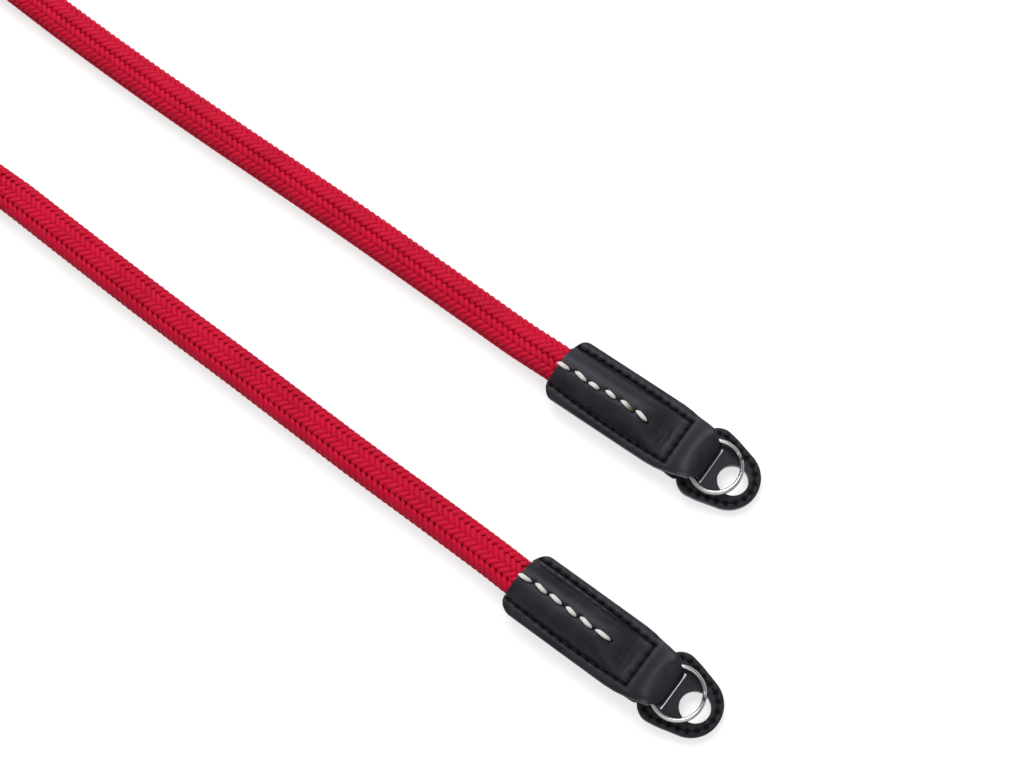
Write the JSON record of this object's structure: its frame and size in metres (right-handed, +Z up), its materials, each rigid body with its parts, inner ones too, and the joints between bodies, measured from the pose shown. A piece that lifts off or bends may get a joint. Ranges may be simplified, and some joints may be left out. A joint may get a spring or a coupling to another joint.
{
  "type": "camera neck strap",
  "caption": "Braided cord neck strap with a folded leather tab, a steel split ring and a round leather guard pad at each end.",
  "frame": {"origin": "on the table, below the middle of the box around the two leather ends", "axes": "+X along the strap from the cord towards the rings, +Y from end b to end a, +Z up from the table"},
  "size_m": [0.3855, 0.1126, 0.0168],
  "materials": {
    "cord": "satin",
    "leather": "satin",
    "black_thread": "matte",
    "pale_thread": "matte",
    "ring_steel": "polished"
  },
  "bodies": {
    "strap": {"cord_run_a": "cord", "cord_coil": "cord", "cord_run_b": "cord", "tab_leather_a": "leather", "tab_seam_a": "black_thread", "centre_thread_a": "pale_thread", "cord_end_a": "cord", "cord_binding_a": "pale_thread", "tab_leather_b": "leather", "tab_seam_b": "black_thread", "centre_thread_b": "pale_thread", "cord_end_b": "cord", "cord_binding_b": "pale_thread"},
    "guard_a": {"guard_top_a": "leather", "guard_bottom_a": "leather", "guard_seam_a": "black_thread"},
    "ring_a": {"split_ring_a": "ring_steel"},
    "guard_b": {"guard_top_b": "leather", "guard_bottom_b": "leather", "guard_seam_b": "black_thread"},
    "ring_b": {"split_ring_b": "ring_steel"}
  },
  "joints": [
    {"name": "guard_a_swing", "type": "hinge", "parent": "strap", "child": "guard_a", "pos_m": [0.00297, 0.0263, 0.00285], "axis": [0.0131, -0.9999, 0], "range_deg": [-6, 6]},
    {"name": "ring_a_lift", "type": "hinge", "parent": "guard_a", "child": "ring_a", "pos_m": [-0.00094, 0.02625, 0.0055], "axis": [0.0131, -0.9999, 0], "range_deg": [0, 15]},
    {"name": "guard_b_swing", "type": "hinge", "parent": "strap", "child": "guard_b", "pos_m": [0.02857, -0.02618, 0.00285], "axis": [-0.0105, -0.9999, 0], "range_deg": [-6, 6]},
    {"name": "ring_b_lift", "type": "hinge", "parent": "guard_b", "child": "ring_b", "pos_m": [0.02466, -0.02614, 0.0055], "axis": [-0.0105, -0.9999, 0], "range_deg": [0, 15]}
  ]
}
